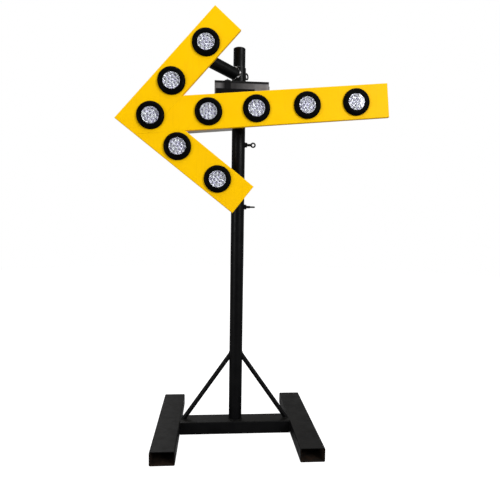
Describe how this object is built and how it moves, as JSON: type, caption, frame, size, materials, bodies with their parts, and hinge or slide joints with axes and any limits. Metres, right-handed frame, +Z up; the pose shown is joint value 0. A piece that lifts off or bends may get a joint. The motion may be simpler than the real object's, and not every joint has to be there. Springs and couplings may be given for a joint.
{
  "type": "lamp arrow board on stand",
  "caption": "Yellow sheet-metal arrow with round clear lamps in rubber grommets, on a telescopic black mast with eye screws and an H-shaped floor stand.",
  "frame": {"origin": "mast axis at floor level, the middle of the crossbar's underside", "axes": "+Z up the mast, -Y the way the lamps face, +X to the right as seen from the front"},
  "size_m": [1.1737, 0.62, 1.8803],
  "materials": {
    "stand_paint": "satin black enamel on welded steel box section and tube",
    "mast_paint": "satin black enamel on steel tube",
    "screw_paint": "black enamel over forged steel, worn at the threads",
    "pad_steel": "turned steel",
    "bracket_paint": "black enamel on steel plate",
    "case_paint": "dark grey paint on folded sheet steel",
    "arrow_yellow": "gloss yellow powder coat on folded sheet steel",
    "plate_yellow": "yellow powder coat on steel plate",
    "zinc": "bright zinc plate",
    "grommet_rubber": "matt black moulded rubber",
    "lamp_lens": "clear polycarbonate",
    "lamp_cup": "black moulded plastic",
    "led_board": "metallised reflector cups on a white board",
    "lead_jacket": "black PVC cable jacket",
    "box_grey": "light grey moulded ABS",
    "gland": "black nylon",
    "circuit_board": "green solder mask",
    "battery_wrap": "blue shrink film",
    "switch_metal": "nickel plate"
  },
  "bodies": {
    "stand": {"left_foot": "stand_paint", "right_foot": "stand_paint", "crossbar": "stand_paint", "left_brace": "stand_paint", "right_brace": "stand_paint", "outer_mast": "mast_paint", "mast_nuts": "mast_paint"},
    "inner_mast": {"inner_mast": "mast_paint", "mast_cap": "gland"},
    "upper_pad": {"upper_screw_pad": "pad_steel"},
    "upper_screw": {"upper_eye_screw": "screw_paint"},
    "lower_pad": {"lower_screw_pad": "pad_steel"},
    "lower_screw": {"lower_eye_screw": "screw_paint"},
    "head": {"head_sleeve": "mast_paint", "head_nut": "mast_paint", "stay_arm": "mast_paint", "slot_plate": "bracket_paint", "head_bracket": "bracket_paint", "battery_case": "case_paint", "case_strap": "bracket_paint", "strap_bolt": "zinc", "battery_gland": "gland"},
    "head_pad": {"head_screw_pad": "pad_steel"},
    "head_screw": {"head_eye_screw": "screw_paint"},
    "drawer": {"battery_drawer": "case_paint", "battery_pack": "battery_wrap"},
    "knob": {"drawer_knob": "gland"},
    "arrow": {"upper_arm_panel": "arrow_yellow", "lower_arm_panel": "arrow_yellow", "shaft_panel": "arrow_yellow", "junction_plate": "plate_yellow", "arm_carrier": "plate_yellow", "shaft_carrier": "plate_yellow", "box_straps": "zinc", "panel_rivets": "zinc", "pivot_bolt": "zinc", "pivot_nut": "zinc", "clamp_bolt": "zinc", "clamp_nut": "zinc", "lamp_grommets": "grommet_rubber", "lamp_housings": "lamp_cup", "led_boards": "led_board", "lamp_harness": "lead_jacket", "lamp_lens_1": "lamp_lens", "lamp_lens_2": "lamp_lens", "lamp_lens_3": "lamp_lens", "lamp_lens_4": "lamp_lens", "lamp_lens_5": "lamp_lens", "lamp_lens_6": "lamp_lens", "lamp_lens_7": "lamp_lens", "lamp_lens_8": "lamp_lens", "lamp_lens_9": "lamp_lens", "control_case": "box_grey", "control_cover": "box_grey", "cover_screws": "zinc", "mount_screws": "zinc", "flasher_board": "circuit_board", "toggle_switch": "switch_metal", "control_gland": "gland"},
    "toggle": {"toggle_lever": "switch_metal"}
  },
  "joints": [
    {"name": "mast_height", "type": "slide", "parent": "stand", "child": "inner_mast", "axis": [0, 0, 1], "range_m": [0, 0.4]},
    {"name": "upper_pad_travel", "type": "slide", "parent": "stand", "child": "upper_pad", "axis": [1, 0, 0], "range_m": [0, 0.007]},
    {"name": "upper_screw_turn", "type": "hinge", "parent": "upper_pad", "child": "upper_screw", "pos_m": [0, 0, 1.329], "axis": [1, 0, 0], "range_deg": [0, 1440]},
    {"name": "lower_pad_travel", "type": "slide", "parent": "stand", "child": "lower_pad", "axis": [1, 0, 0], "range_m": [0, 0.007]},
    {"name": "lower_screw_turn", "type": "hinge", "parent": "lower_pad", "child": "lower_screw", "pos_m": [0, 0, 1.048], "axis": [1, 0, 0], "range_deg": [0, 1440]},
    {"name": "head_swivel", "type": "hinge", "parent": "inner_mast", "child": "head", "pos_m": [0, 0, 1.6], "axis": [0, 0, 1], "continuous": true},
    {"name": "head_pad_travel", "type": "slide", "parent": "head", "child": "head_pad", "axis": [0.5299, 0.848, 0], "range_m": [0, 0.007]},
    {"name": "head_screw_turn", "type": "hinge", "parent": "head_pad", "child": "head_screw", "pos_m": [0, 0, 1.652], "axis": [0.5299, 0.848, 0], "range_deg": [0, 1440]},
    {"name": "arrow_tilt", "type": "hinge", "parent": "head", "child": "arrow", "pos_m": [0, -0.1, 1.4552], "axis": [0, -1, 0], "range_deg": [-6, 3]},
    {"name": "drawer_slide", "type": "slide", "parent": "head", "child": "drawer", "axis": [1, 0, 0], "range_m": [0, 0.2]},
    {"name": "knob_turn", "type": "hinge", "parent": "drawer", "child": "knob", "pos_m": [0.1238, -0.06815, 1.5641], "axis": [1, 0, 0], "range_deg": [0, 90]},
    {"name": "switch_throw", "type": "hinge", "parent": "arrow", "child": "toggle", "pos_m": [-0.1848, -0.038, 1.43371], "axis": [0.9956, 0, 0.0941], "range_deg": [-24, 0]}
  ],
  "couplings": [
    {"joint": "upper_screw_turn", "follows": "upper_pad_travel", "rad_per_m": 3590.4},
    {"joint": "lower_screw_turn", "follows": "lower_pad_travel", "rad_per_m": 3590.4},
    {"joint": "head_screw_turn", "follows": "head_pad_travel", "rad_per_m": 3590.4}
  ]
}
